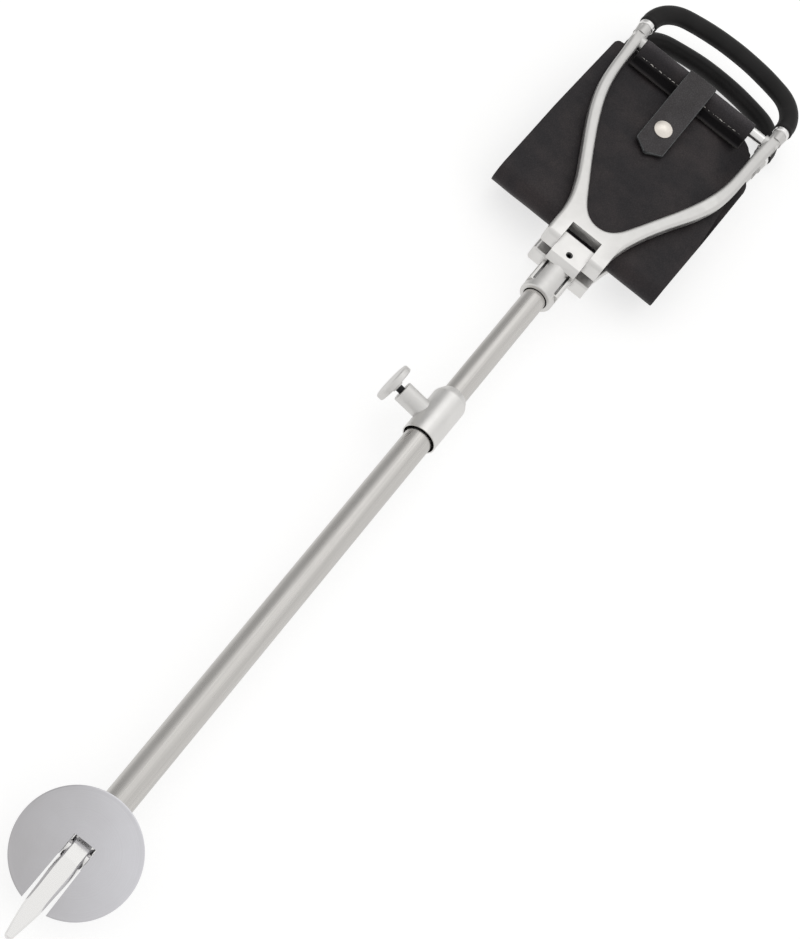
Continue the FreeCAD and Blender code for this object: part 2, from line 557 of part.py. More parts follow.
def snap_strap():
    flap = side_slab(STRAP_FLAP, STRAP_T, STRAP_X - STRAP_HALF_X, STRAP_X + STRAP_HALF_X)
    tip = [Vector(STRAP_X, HEEL_Y + STRAP_TIP_H, 0)]
    for sign in (1, -1):
        corner = Vector(STRAP_X + sign * STRAP_HALF_X, HEEL_Y + STRAP_SHOULDER_H, 0)
        outside = Vector(STRAP_X + sign * (STRAP_HALF_X + 1), HEEL_Y + STRAP_TIP_H - 1, 0)
        middle = Vector(STRAP_X, HEEL_Y + STRAP_TIP_H - 1, 0)
        cutter = Part.Face(Part.makePolygon([tip[0], corner, outside, middle, tip[0]]))
        flap = flap.cut(cutter.extrude(Vector(0, 0, 40)))
    return flap.cut(square_to_strap(rod_z(2.1, 0, 40, STRAP_X, HEEL_Y + SNAP_H)))


def strap_anchor():
    anchor = side_slab(STRAP_BACK, STRAP_T, STRAP_X - STRAP_HALF_X, STRAP_X + STRAP_HALF_X)
    return anchor.cut([rod_z(2.02, -40, 0, STRAP_X, HEEL_Y + h) for h in RIVET_H])


def strap_rivets():
    rivets = []
    for h in RIVET_H:
        inside = -panel_z(h) + LEATHER_T / 2
        outside = root_z(h) - STRAP_T / 2
        shank = rod_z(2.0, outside - 0.5, inside + 1.0, STRAP_X, HEEL_Y + h)
        heads = [rod_z(4.5, outside - 1.2, outside - 0.15, STRAP_X, HEEL_Y + h),
                 rod_z(4.5, inside + 0.15, inside + 1.2, STRAP_X, HEEL_Y + h)]
        rivets.append(shank.fuse(heads).removeSplitter())
    return Part.Compound(rivets)


def snap_cap():
    """Domed cap in front of the strap with a rivet post through it."""
    base = SNAP_Z + STRAP_T / 2 + 0.15
    x, y = STRAP_X, HEEL_Y + SNAP_H
    dome_r = (CAP_R ** 2 + CAP_DOME ** 2) / (2 * CAP_DOME)
    dome = Part.makeSphere(dome_r, Vector(x, y, base + CAP_EDGE + CAP_DOME - dome_r))
    cap = rod_z(CAP_R, base, base + CAP_EDGE + CAP_DOME, x, y).common(dome)
    return square_to_strap(cap.fuse(rod_z(2.0, base - 2.9, base + 0.3, x, y)))


def snap_socket():
    top = SNAP_Z - STRAP_T / 2 - 0.05
    ring = rod_z(6.2, top - 1.6, top, STRAP_X, HEEL_Y + SNAP_H)
    cup = rod_z(3.9, top - 3, top - 0.5, STRAP_X, HEEL_Y + SNAP_H)
    post = rod_z(2.02, top - 1, top + 1, STRAP_X, HEEL_Y + SNAP_H)
    return square_to_strap(ring.cut([cup, post]))


def snap_stud():
    """Stud on the front panel: flange, ball and the post riveted behind the leather."""
    face = panel_z(SNAP_H) + LEATHER_T / 2
    x, y = STRAP_X, HEEL_Y + SNAP_H
    flange = rod_z(5.6, face + 0.15, face + 0.9, x, y)
    ball = rod_z(2.5, face + 0.5, SNAP_Z - 2.2, x, y)
    post = rod_z(1.6, face - LEATHER_T - 0.9, face + 0.5, x, y)
    back = rod_z(5.0, face - LEATHER_T - 1.0, face - LEATHER_T - 0.15, x, y)
    return flange.fuse([ball, post, back])


def with_hole(shape, radius, h_list, sign):
    """Drill a panel for the rivets or the stud that pass through it."""
    return shape.cut([rod_z(radius, min(0, 40 * sign), max(0, 40 * sign), STRAP_X, HEEL_Y + h) for h in h_list])


def build():
    front_leather = front_seat_leather()
    parts = {
        "outer_tube": outer_tube(), "inner_tube": inner_tube(), "guide_bush": guide_bush(),
        "ground_spike": ground_spike(), "spike_pin": spike_pin(), "disc_pivot_pin": disc_pivot_pin(),
        "ground_disc": ground_disc(), "clamp_collar": clamp_collar(), "clamp_pad": clamp_pad(),
        "thumb_screw": thumb_screw(), "thumb_knob": thumb_knob(), "hinge_block": hinge_block(),
        "socket_screw": socket_screw(), "snap_strap": snap_strap(), "strap_anchor": strap_anchor(),
        "strap_rivets": strap_rivets(), "snap_cap": snap_cap(), "snap_socket": snap_socket(),
        "snap_stud": snap_stud(),
        "front_seat_leather": with_hole(front_leather, 1.62, [SNAP_H], 1),
        "back_seat_leather": with_hole(mirror_z(front_leather), 2.02, RIVET_H, -1),
    }
    for name, make in (("hinge_pin", front_hinge_pin), ("yoke", front_yoke), ("seat_bar", front_seat_bar),
                       ("grip_core", front_grip_core), ("grip_cover", front_grip_cover),
                       ("grip_ferrules", front_grip_ferrules), ("seat_fold", front_seat_fold),
                       ("stitching", front_stitching)):
        shape = make()
        parts["front_" + name] = shape
        parts["back_" + name] = mirror_z(shape)
    return parts


def export(parts):
    os.makedirs("parts", exist_ok=True)
    whole = Part.Compound(list(parts.values())).optimalBoundingBox(False, False)
    shift = Vector(-whole.Center.x, -whole.Center.y, -whole.ZMin)
    for name, shape in parts.items():
        moved = shape.copy()
        moved.translate(shift)
        moved.exportStep("parts/" + name + ".step")
        state = "" if moved.isValid() else "  NOT VALID"
        print("%-22s %3d solids %10.1f mm3%s" % (name, len(moved.Solids), moved.Volume, state))
    print("shift", shift, "size", whole.XLength, whole.YLength, whole.ZLength)


export(build())
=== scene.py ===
import json
import math

import bpy
import numpy as np
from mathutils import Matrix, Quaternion, Vector, noise


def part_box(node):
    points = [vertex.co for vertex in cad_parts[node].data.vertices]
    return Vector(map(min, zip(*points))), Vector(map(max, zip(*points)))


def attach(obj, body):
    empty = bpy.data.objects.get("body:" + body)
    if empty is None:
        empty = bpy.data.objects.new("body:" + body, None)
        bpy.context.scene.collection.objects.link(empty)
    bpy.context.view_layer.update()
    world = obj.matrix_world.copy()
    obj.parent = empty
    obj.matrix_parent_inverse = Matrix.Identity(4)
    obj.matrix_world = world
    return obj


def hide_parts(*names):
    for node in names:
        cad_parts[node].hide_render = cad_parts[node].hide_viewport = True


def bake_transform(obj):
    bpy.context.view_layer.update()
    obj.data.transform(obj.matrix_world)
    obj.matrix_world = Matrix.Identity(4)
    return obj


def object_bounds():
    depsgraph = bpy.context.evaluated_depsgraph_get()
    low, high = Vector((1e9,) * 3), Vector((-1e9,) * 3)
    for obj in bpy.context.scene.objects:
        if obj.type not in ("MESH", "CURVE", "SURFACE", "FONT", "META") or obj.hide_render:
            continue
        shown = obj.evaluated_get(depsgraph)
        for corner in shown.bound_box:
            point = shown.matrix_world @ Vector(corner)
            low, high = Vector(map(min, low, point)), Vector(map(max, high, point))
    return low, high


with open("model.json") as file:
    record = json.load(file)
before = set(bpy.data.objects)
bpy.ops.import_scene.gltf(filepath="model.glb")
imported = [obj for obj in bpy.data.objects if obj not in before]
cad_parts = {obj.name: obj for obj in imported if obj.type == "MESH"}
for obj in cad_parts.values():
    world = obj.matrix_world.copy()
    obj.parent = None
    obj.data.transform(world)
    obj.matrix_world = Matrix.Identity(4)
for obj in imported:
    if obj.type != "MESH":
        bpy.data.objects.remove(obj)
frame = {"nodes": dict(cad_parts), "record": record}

# Looks of the folded shooting stick. Lengths are millimetres until place() turns them into the
# frame's metres: x across the stick, h up it from the yokes' heels, z to the front.
CAD_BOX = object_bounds()
MM = 0.001


def middle(node):
    low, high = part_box(node)
    return (low + high) / 2


def span(node, axis):
    low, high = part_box(node)
    return (high[axis] - low[axis]) / MM


STICK = middle("inner_tube")
HEEL_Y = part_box("front_yoke")[0].y
ORIGIN = np.array((STICK.x, HEEL_Y, STICK.z))


def place(points):
    return np.asarray(points, float) * MM + ORIGIN


def local(point):
    return (np.array(point) - ORIGIN) / MM


# --- sling -----------------------------------------------------------------------------------
BAR = local(middle("front_seat_bar"))
BAR_H, BAR_Z = BAR[1], BAR[2]
BAR_R = span("front_seat_bar", 1) / 2
PANEL_T = 2.6
HEM_T = 2.0                    # the leather is skived thinner where it goes round the bar
SLEEVE_R = BAR_R + HEM_T / 2 + 0.14
NECK = (-60.8, 49.0)           # left and right ends of the sleeve and hem
HEM_LINE = [(188.6, 14.9), (194.0, 15.1), (198.0, 15.3), (200.6, 16.2)]
PANEL_LINE = [(203.5, 12.15), (200.0, 12.3), (35.0, 9.4)]
FOLD_H = 35.0
FOLD_R = 9.4
# Edge of the hide (h, x) on each side of each panel, from the sleeve down to the fold.
FRONT_LEFT = [(204.4, -60.8), (203.8, -63.9), (203.5, -77.5), (202.4, -79.9), (200.0, -81.0),
              (110.0, -84.0), (35.0, -84.9)]
FRONT_RIGHT = [(204.0, 49.0), (203.0, 54.4), (200.0, 60.0), (195.0, 62.2), (186.0, 63.3), (175.0, 64.4),
               (143.0, 68.6), (110.0, 71.5), (86.0, 72.8), (35.0, 72.2)]
BACK_LEFT = [(199.0, -60.8), (198.0, -62.6), (197.0, -73.0), (194.0, -77.6), (184.0, -81.0),
             (110.0, -84.5), (35.0, -84.9)]
BACK_RIGHT = [(192.0, 49.0), (191.2, 51.1), (190.7, 65.1), (189.0, 70.9), (185.0, 73.9),
              (179.0, 75.0), (111.0, 74.1), (35.0, 72.2)]
SLING_COLUMNS = 118
STITCH_H = 200.0
STITCH_PITCH = 4.4

# --- strap -----------------------------------------------------------------------------------
STRAP_X = local(middle("snap_cap"))[0]
STRAP_HALF = 12.8
STRAP_T = 2.2
STRAP_TIP_H = local(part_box("snap_strap")[0])[1]
STRAP_SHOULDER = 7.0
STRAP_ROOT_H = 152.0
STRAP_TOP_H = 217.9
STRAP_BACK = [(STRAP_ROOT_H, -14.1), (178.0, -14.6), (188.3, -17.4), (196.0, -20.2), (205.0, -24.8),
              (211.5, -25.5), (216.0, -23.5), (STRAP_TOP_H, -19.0)]
STRAP_FRONT = [(STRAP_TOP_H, 19.0), (216.0, 23.5), (211.5, 25.5), (206.0, 25.4), (190.0, 24.1),
               (176.0, 22.2), (STRAP_TIP_H, 15.0)]

# --- grips -----------------------------------------------------------------------------------
GRIP_R = 7.8
GRIP_CORE_R = 4.66
GRIP_FOOT_H = 228.6
GRIP_CORNER_R = 28.0
GRIP_ARCH_R = 190.0


def smooth(t):
    t = np.clip(t, 0, 1)
    return t * t * (3 - 2 * t)


def hill(value, centre, width):
    return np.exp(-((value - centre) / width) ** 2)


def roughly(x, y, scale, seed):
    """Smooth noise of about -1 to 1 over arrays, with lumps of about scale millimetres."""
    flat = zip(np.ravel(x) / scale, np.ravel(y) / scale)
    return np.array([noise.noise((a, b, seed)) for a, b in flat]).reshape(np.shape(x)) * 1.6


def resample(points, steps, passes=2):
    """Walk along a polyline with the given steps at the given lengths, then round it off."""
    points = np.asarray(points, float)
    run = np.concatenate([[0], np.cumsum(np.linalg.norm(np.diff(points, axis=0), axis=1))])
    stops = [0.0]
    while stops[-1] < run[-1]:
        stops.append(stops[-1] + np.interp(stops[-1], steps[0], steps[1]))
    stops = np.array(stops) * run[-1] / stops[-1]
    line = np.stack([np.interp(stops, run, points[:, i]) for i in range(2)], axis=1)
    for _ in range(passes):
        line[1:-1] = line[1:-1] / 2 + (line[:-2] + line[2:]) / 4
    return line, stops


# --- meshes ----------------------------------------------------------------------------------
def new_object(name, points, faces, normals=None, face_slots=None, materials=()):
    mesh = bpy.data.meshes.new(name)
    mesh.from_pydata([tuple(p) for p in points], [], faces)
    for item in materials:
        mesh.materials.append(item)
    if face_slots is not None:
        mesh.polygons.foreach_set("material_index", np.asarray(face_slots, np.int32))
    mesh.shade_smooth()
    if normals is not None:
        mesh.normals_split_custom_set_from_vertices([tuple(n) for n in normals])
    rest = mesh.attributes.new("rest_place", "FLOAT_VECTOR", "POINT")
    rest.data.foreach_set("vector", np.asarray(points, np.float32).ravel())
    mesh.validate()
    obj = bpy.data.objects.new(name, mesh)
    bpy.context.scene.collection.objects.link(obj)
    return obj


def unit(v):
    return v / np.maximum(np.linalg.norm(v, axis=-1, keepdims=True), 1e-12)


def grid_normals(grid):
    across = np.gradient(grid, axis=1)
    along = np.gradient(grid, axis=0)
    return unit(np.cross(across, along))


def border(rows, columns):
    """Indices (row, column) once round the edge of a grid."""
    loop = [(0, c) for c in range(columns)]
    loop += [(r, columns - 1) for r in range(1, rows)]
    loop += [(rows - 1, c) for c in range(columns - 2, -1, -1)]
    loop += [(r, 0) for r in range(rows - 2, 0, -1)]
    return loop


def mottle_and_painted_light(x, h, side, below):
    """Random mottling of the hide plus painted sheen (up to 1, lighter) and painted shade (down to -1,
    darker), over the grid.
    """
    # Broad noise: the hide's own uneven mottling.
    wear_and_painted_light = 0.6 * roughly(x, h, 52, 21.0 + side) + 0.35 * roughly(x, h, 19, 31.0 + side)
    # Lighter towards the lower left; the lighter lumps across the upper half are painted sheen.
    wear_and_painted_light += (0.35 * smooth((-50 - x) / 22) * smooth((150 - h) / 90)
             + 0.25 * hill(x, 38, 22) * hill(h, 170, 18))
    wear_and_painted_light += 0.3 * hill(x, 5, 30) * hill(h, 180, 22) + 0.2 * hill(x, -38, 18) * hill(h, 160, 20)
    # Painted shade: a dark patch beside the right arm and a dark band low in the fold.
    wear_and_painted_light -= 1.5 * hill(x, 58, 9) * hill(h, 170, 24) + 0.5 * hill(h, 30, 6)
    # Painted shade in the upper left corner, near the left arm.
    panel = wear_and_painted_light - 0.5 * smooth((-52 - x) / 14) * smooth((h - 165) / 25)
    # Painted shadow of the sleeve in a dark band just below it, and painted sheen along the top of the
    # sleeve.
    hem = -1.5 * hill(h, 194.5, 5.5) + 0.55 * hill(h, 213, 7)
    return np.where(below, panel, hem + 0.3 * wear_and_painted_light)


def leather(name, mid, normal, thick, materials, skive=None, flip=False, seam=False):
    """A closed sheet: grain side, flesh side and a rounded cut edge between them.

    skive is how far the grain side's edge is pared back, per row, on the right. With seam, the
    last row joins the other half, so it has no cut edge there.
    """
    rows, columns = mid.shape[:2]
    half = (thick / 2)[:, None, None]
    grain, flesh = mid + normal * half, mid - normal * half
    pare = np.full((rows, 2), 0.3)
    if skive is not None:
        pare[:, 1] += skive
    inward = unit(grain[:, 1] - grain[:, 0])
    grain[:, 0] += inward * pare[:, :1]
    inward = unit(grain[:, -2] - grain[:, -1])
    grain[:, -1] += inward * pare[:, 1:]
    grain[0] += unit(grain[1] - grain[0]) * 0.3
    if not seam:
        grain[-1] += unit(grain[-2] - grain[-1]) * 0.3
    loop = border(rows, columns)
    outward = np.zeros_like(mid)
    outward[:, 0] += mid[:, 0] - mid[:, 1]
    outward[:, -1] += mid[:, -1] - mid[:, -2]
    outward[0] += mid[0] - mid[1]
    if not seam:
        outward[-1] += mid[-1] - mid[-2]
    outward = unit(outward)
    ring = np.array([mid[r, c] + outward[r, c] * 0.25 for r, c in loop])
    ring_normals = np.array([outward[r, c] for r, c in loop])
    size = rows * columns
    points = np.concatenate([grain.reshape(-1, 3), flesh.reshape(-1, 3), ring])
    normals = np.concatenate([normal.reshape(-1, 3), -normal.reshape(-1, 3), ring_normals])
    index = np.arange(size).reshape(rows, columns)
    a, b = index[:-1, :-1].ravel(), index[:-1, 1:].ravel()
    c, d = index[1:, 1:].ravel(), index[1:, :-1].ravel()
    faces = np.stack([a, b, c, d], axis=1).tolist()
    faces += (np.stack([a, d, c, b], axis=1) + size).tolist()
    slots = [0] * len(faces)
    count = len(loop)
    edge = [int(index[r, c]) for r, c in loop]
    for i in range(count):
        j = (i + 1) % count
        top, next_top = edge[i], edge[j]
        mid_a, mid_b = 2 * size + i, 2 * size + j
        faces += [[next_top, top, mid_a, mid_b], [mid_b, mid_a, top + size, next_top + size]]
        # The pared stretch of the right edge takes the third material, a pale painted highlight along
        # the cut edge.
        pale = skive is not None and loop[i][1] == columns - 1 and skive[loop[i][0]] > 0.02
        slots += [2 if pale else 1, 1]
    if flip:
        faces = [f[::-1] for f in faces]
    return new_object(name, place(points), faces, normals, slots, materials)


def sling_grid(side):
    """Mid-surface of half the sling, with its normals, thickness and row heights.

    side is 1 for the front and -1 for the back, which is the same hide folded under.
    """
    turns = [math.radians(a) for a in range(-58, 181, 4)]
    loop = [(BAR_H + SLEEVE_R * math.sin(a), BAR_Z + SLEEVE_R * math.cos(a)) for a in turns]
    quarter = [math.radians(a) for a in range(3, 91, 3)]
    fold = [(FOLD_H - FOLD_R * math.sin(a), FOLD_R * math.cos(a)) for a in quarter]
    hem_run = 54.0
    steps = ([0, hem_run, hem_run + 8], [0.8, 0.8, 1.5])
    line, stops = resample(HEM_LINE + loop + PANEL_LINE + fold, steps)
    line[-1] = (FOLD_H - FOLD_R, 0.0)
    h, z = line[:, 0], line[:, 1]
    top = int(np.argmax(h))
    below = np.arange(len(h)) > top
    on_panel = below & (h < 207)
    left_edge, right_edge = (FRONT_LEFT, FRONT_RIGHT) if side > 0 else (BACK_LEFT, BACK_RIGHT)
    left = np.where(on_panel, along_edge(left_edge, h), NECK[0])
    right = np.where(on_panel, along_edge(right_edge, h), NECK[1])
    share = np.linspace(0, 1, SLING_COLUMNS)[None, :]
    share = share + 0.012 * np.sin(2 * np.pi * share)
    x = left[:, None] + (right - left)[:, None] * share
    thick = np.where(below, PANEL_T, HEM_T)
    for _ in range(6):
        thick[1:-1] = thick[1:-1] / 2 + (thick[:-2] + thick[2:]) / 4
    hh, zz = np.repeat(h[:, None], x.shape[1], 1), np.repeat(z[:, None], x.shape[1], 1)
    grid = np.stack([x, hh, zz], axis=2)
    normal = grid_normals(grid)
    lift = relief(x, hh, side) * (below & (h < 206))[:, None]
    ripple = 0.16 * roughly(x + 300, stops[:, None] + 0 * x, 7, 5.0 * side)
    lift += ripple * smooth((stops[-1] - stops) / 30)[:, None]
    grid = grid + normal * lift[:, :, None] * np.where(below, -1, 1)[:, None, None]
    wave = 0.45 * roughly(x, 0 * x, 26, 3.0)
    grid[:, :, 1] += wave * smooth((42 - hh) / 12) * below[:, None]
    normal = grid_normals(grid)
    normal[-1, :, 2] = 0
    normal = unit(normal)
    return grid, normal, thick, h


def along_edge(edge, h):
    hs, xs = np.array(edge[::-1]).T
    return np.interp(h, hs, xs)


def relief(x, h, side):
    """How far the panel stands out from its flat line, towards its own outer face."""
    lift = 1.0 * hill(x, 0, 34) * hill(h, 118, 46)
    lift += 0.55 * roughly(x, h, 46, 11.0 + side) + 0.22 * roughly(x, h, 17, 4.0 + side)
    lift -= 0.7
    right = smooth((x - 40) / 30)
    if side > 0:
        lift -= 5.2 * hill(x, 55, 17) * hill(h, 176, 27)
        lift -= 4.2 * right * smooth((h - 96) / 84)
        lift -= 1.0 * hill(x, -48, 16) * hill(h, 182, 30)
        lift -= 0.8 * smooth((-62 - x) / 10) * smooth((h - 150) / 40)
    else:
        lift -= 1.5 * right * smooth((h - 120) / 60)
    return lift * smooth((h - 37) / 30) * smooth((206 - h) / 6)


def stitch_row(name, side, material, seed):
    """Hand-tight thread stitches along the hem, each a little different."""
    start, end = NECK[0] + 4, NECK[1] - 4
    count = int((end - start) / STITCH_PITCH)
    points, faces = [], []
    for i in range(count):
        wobble = noise.noise((i * 1.7, seed, 0.3))
        tilt = noise.noise((i * 2.3, seed, 4.1))
        x = start + (i + 0.5) * STITCH_PITCH + wobble * 0.5
        length = 3.9 + 0.6 * wobble
        radius = 0.34 + 0.08 * wobble
        add_stitch(points, faces, x, STITCH_H + 0.5 * tilt, length, 0.9 * tilt, radius, side)
    obj = new_object(name, place(points), faces, materials=[material])
    return obj


def add_stitch(points, faces, x, h, length, tilt, radius, side):
    rings, around = 7, 8
    base = len(points)
    surface = 17.05
    for i in range(rings):
        t = i / (rings - 1) * 2 - 1
        dip = 0.55 - 1.25 * t ** 4
        size = radius * (1 - 0.45 * t ** 4)
        for k in range(around):
            a = 2 * math.pi * k / around
            points.append((x + t * length / 2, h + tilt * t + size * math.cos(a),
                           side * (surface + (h - STITCH_H) * 0.4 + dip * 0.55 + size * math.sin(a))))
    for i in range(rings - 1):
        for k in range(around):
            j = (k + 1) % around
            quad = [base + i * around + k, base + i * around + j,
                    base + (i + 1) * around + j, base + (i + 1) * around + k]
            faces.append(quad if side > 0 else quad[::-1])
    for i, turn in ((0, -1), (rings - 1, 1)):
        cap = [base + i * around + k for k in range(around)][::turn]
        faces.append(cap if side > 0 else cap[::-1])


def strap_grid():
    line, stops = resample(STRAP_BACK + STRAP_FRONT, ([0, 1], [1.15, 1.15]), passes=3)
    h, z = line[:, 0], line[:, 1]
    columns = 25
    share = np.linspace(-1, 1, columns)
    front = z > 0
    taper = np.clip((h - STRAP_TIP_H) / STRAP_SHOULDER, 0.035, 1)
    half = STRAP_HALF * np.where(front & (h < STRAP_TIP_H + STRAP_SHOULDER), taper, 1)
    x = STRAP_X + half[:, None] * share[None, :]
    grid = np.stack([x, np.repeat(h[:, None], columns, 1), np.repeat(z[:, None], columns, 1)], axis=2)
    normal = grid_normals(grid)
    curl = 0.5 * share[None, :] ** 4 * (front & (h < 200))[:, None]
    sway = 0.14 * roughly(x, stops[:, None] + 0 * x, 13, 8.0)
    grid = grid - normal * (curl - sway)[:, :, None]
    return grid, grid_normals(grid)


def grip_line():
    """Centre line of a grip, (x, h): a foot, a tight corner, a shallow arch and back."""
    half = (span("front_grip_cover", 0) - 2 * GRIP_R) / 2
    top = local(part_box("front_grip_cover")[1])[1] - GRIP_R
    corner_x = half - GRIP_CORNER_R
    centre = top - GRIP_ARCH_R
    reach = GRIP_ARCH_R - GRIP_CORNER_R
    corner_h = centre + math.sqrt(reach ** 2 - corner_x ** 2)
    lean = math.asin(corner_x / reach)
    right = [(half, GRIP_FOOT_H + (corner_h - GRIP_FOOT_H) * t) for t in (0, 0.5, 1)]
    for a in np.linspace(math.pi / 2, lean, 12)[1:]:
        right.append((corner_x + GRIP_CORNER_R * math.sin(a), corner_h + GRIP_CORNER_R * math.cos(a)))
    for a in np.linspace(lean, 0, 14)[1:]:
        right.append((GRIP_ARCH_R * math.sin(a), centre + GRIP_ARCH_R * math.cos(a)))
    return right + [(-x, h) for x, h in right[-2::-1]]


def grip(name, side, material):
    """A soft sleeve with rolled ends and a faint seam on the palm side."""
    line, stops = resample(grip_line(), ([0, 1], [1.6, 1.6]), passes=2)
    total = stops[-1]
    ahead = unit(np.gradient(line, axis=0))
    around = 48
    z = BAR_Z + 1.5
    points, faces = [], []
    ends = np.minimum(stops, total - stops)
    swell = 0.12 * roughly(stops, 0 * stops, 23, 6.0 + side)
    radius = GRIP_R + swell - 0.45 * smooth(1 - ends / 1.6) ** 2 - 0.32 * hill(ends, 4.2, 1.1)
    shells = [(radius, 1), (np.full(len(line), GRIP_CORE_R), -1)]
    for size, _ in shells:
        for (x, h), (ax, ah), r in zip(line, ahead, size):
            for k in range(around):
                a = 2 * math.pi * k / around
                seam = 0.16 * math.exp(-((a - 1.5 * math.pi) / 0.09) ** 2) if r > GRIP_CORE_R else 0
                out = (r - seam) * math.cos(a)
                points.append((x - ah * out, h + ax * out, side * (z + (r - seam) * math.sin(a))))
    rings = len(line)
    for shell, (_, turn) in enumerate(shells):
        base = shell * rings * around
        for i in range(rings - 1):
            for k in range(around):
                j = (k + 1) % around
                quad = [base + i * around + k, base + i * around + j,
                        base + (i + 1) * around + j, base + (i + 1) * around + k]
                faces.append(quad[::turn])
    inner = rings * around
    for i, turn in ((0, -1), (rings - 1, 1)):
        for k in range(around):
            j = (k + 1) % around
            quad = [i * around + k, i * around + j, inner + i * around + j, inner + i * around + k]
            faces.append(quad[::turn])
    if side > 0:
        faces = [f[::-1] for f in faces]
    return new_object(name, place(points), faces, materials=[material])


# --- materials -------------------------------------------------------------------------------
class Shader:
    """A Principled material built up node by node."""

    def __init__(self, name, colour, rough, metal=0.0):
        self.material = bpy.data.materials.new(name)
        self.material.use_nodes = True
        self.tree = self.material.node_tree
        self.bsdf = self.tree.nodes["Principled BSDF"]
        self.material.diffuse_color = (*colour, 1)
        self.put(self.bsdf, {"Base Color": (*colour, 1), "Roughness": rough, "Metallic": metal})

    def put(self, node, inputs):
        for key, value in inputs.items():
            if isinstance(value, bpy.types.NodeSocket):
                self.tree.links.new(value, node.inputs[key])
            else:
                node.inputs[key].default_value = value
        return node

    def node(self, kind, inputs=None, **settings):
        made = self.tree.nodes.new("ShaderNode" + kind)
        for key, value in settings.items():
            setattr(made, key, value)
        return self.put(made, inputs or {})

    def set(self, **inputs):
        self.put(self.bsdf, {k.replace("_", " "): v for k, v in inputs.items()})

    def place(self, scale=(1, 1, 1), rest=False):
        if rest:
            source = self.node("Attribute", attribute_name="rest_place").outputs["Vector"]
        else:
            source = self.node("TexCoord").outputs["Object"]
        return self.node("Mapping", {"Vector": source, "Scale": scale}).outputs["Vector"]

    def noise(self, vector, scale, detail=3, rough=0.5):
        made = self.node("TexNoise", {"Vector": vector, "Scale": scale, "Detail": detail,
                                      "Roughness": rough})
        return made.outputs["Fac"]

    def ramp(self, value, low, high, out_low, out_high):
        made = self.node("MapRange", {"Value": value, "From Min": low, "From Max": high,
                                      "To Min": out_low, "To Max": out_high}, clamp=True)
        return made.outputs["Result"]

    def blend(self, value, first, second):
        made = self.node("Mix", data_type="RGBA")
        self.put(made, {"Factor": value})
        for key, colour in (("A", first), ("B", second)):
            socket = [s for s in made.inputs if s.name == key and s.type == "RGBA"][0]
            if isinstance(colour, bpy.types.NodeSocket):
                self.tree.links.new(colour, socket)
            else:
                socket.default_value = (*colour, 1)
        return [s for s in made.outputs if s.type == "RGBA"][0]

    def math(self, operation, first, second):
        made = self.node("Math", operation=operation)
        for socket, value in zip(made.inputs, (first, second)):
            if isinstance(value, bpy.types.NodeSocket):
                self.tree.links.new(value, socket)
            else:
                socket.default_value = value
        return made.outputs["Value"]

    def bump(self, height, strength, distance, normal=None):
        made = self.node("Bump", {"Height": height, "Strength": strength, "Distance": distance})
        if normal is not None:
            self.put(made, {"Normal": normal})
        return made.outputs["Normal"]


def drawn_tube(name, colour, rough):
    """Tube drawn and polished lengthwise: fine streaks, spread round the tube, a few dull patches."""
    s = Shader(name, colour, rough, 1.0)
    streak = s.noise(s.place((1500, 7, 1500)), 1.0, 5, 0.6)
    broad = s.noise(s.place((260, 5, 260)), 1.0, 3)
    patch = s.noise(s.place(), 42, 4, 0.6)
    both = s.math("ADD", s.math("MULTIPLY", streak, 0.6), s.math("MULTIPLY", broad, 0.4))
    dark = tuple(c * 0.84 for c in colour)
    s.set(Base_Color=s.blend(s.ramp(both, 0.32, 0.62, 0, 1), dark, colour),
          Roughness=s.math("ADD", s.ramp(both, 0.3, 0.7, rough + 0.07, rough - 0.05),
                           s.ramp(patch, 0.45, 0.75, 0, 0.07)),
          Normal=s.bump(streak, 0.16, 0.00012), Anisotropic=0.55)
    cross = s.node("VectorMath", operation="CROSS_PRODUCT")
    s.tree.links.new(s.node("NewGeometry").outputs["Normal"], cross.inputs[0])
    cross.inputs[1].default_value = (0, 1, 0)
    s.set(Tangent=cross.outputs["Vector"])
    return s.material


def cast_metal(name, colour, rough, grain=1.0):
    """Cast alloy, tumbled to a satin: soft lumps, fine grain, a little wear along edges, darker further
    up from the heels, and painted shade in crevices.
    """
    s = Shader(name, colour, rough, 1.0)
    fine = s.noise(s.place(), 2600, 2)
    lump = s.noise(s.place(), 170, 3)
    patch = s.noise(s.place(), 38, 4, 0.6)
    wear_and_painted_light = s.ramp(s.node("NewGeometry").outputs["Pointiness"], 0.51, 0.56, 0, 1)
    dark = tuple(c * 0.9 for c in colour)
    bright = tuple(min(1, c * 1.06) for c in colour)
    base = s.blend(s.ramp(patch, 0.35, 0.65, 0, 1), dark, colour)
    base = s.blend(s.math("MULTIPLY", wear_and_painted_light, 0.6), base, bright)
    # Darker further up, from 30 to 190 mm above the heels.
    height = s.node("SeparateXYZ", {"Vector": s.place()}).outputs["Y"]
    further_up = s.ramp(height, HEEL_Y + 0.03, HEEL_Y + 0.19, 0, 1)
    base = s.blend(further_up, base, tuple(c * 0.80 for c in colour))
    # Painted shade: crevices and recesses darkened by ambient occlusion.
    openness_for_painted_shade = s.node("AmbientOcclusion", {"Distance": 0.007}, samples=4).outputs["AO"]
    dull = s.math("ADD", s.ramp(patch, 0.35, 0.7, rough - 0.04, rough + 0.06),
                  s.ramp(lump, 0.4, 0.6, 0, 0.04))
    s.set(Base_Color=s.blend(s.ramp(openness_for_painted_shade, 0.12, 0.62, 0, 1), tuple(c * 0.17 for c in colour), base),
          Roughness=s.math("SUBTRACT", dull, s.math("MULTIPLY", wear_and_painted_light, 0.08)),
          Normal=s.bump(fine, 0.10 * grain, 0.0002, s.bump(lump, 0.06 * grain, 0.0008)))
    return s.material


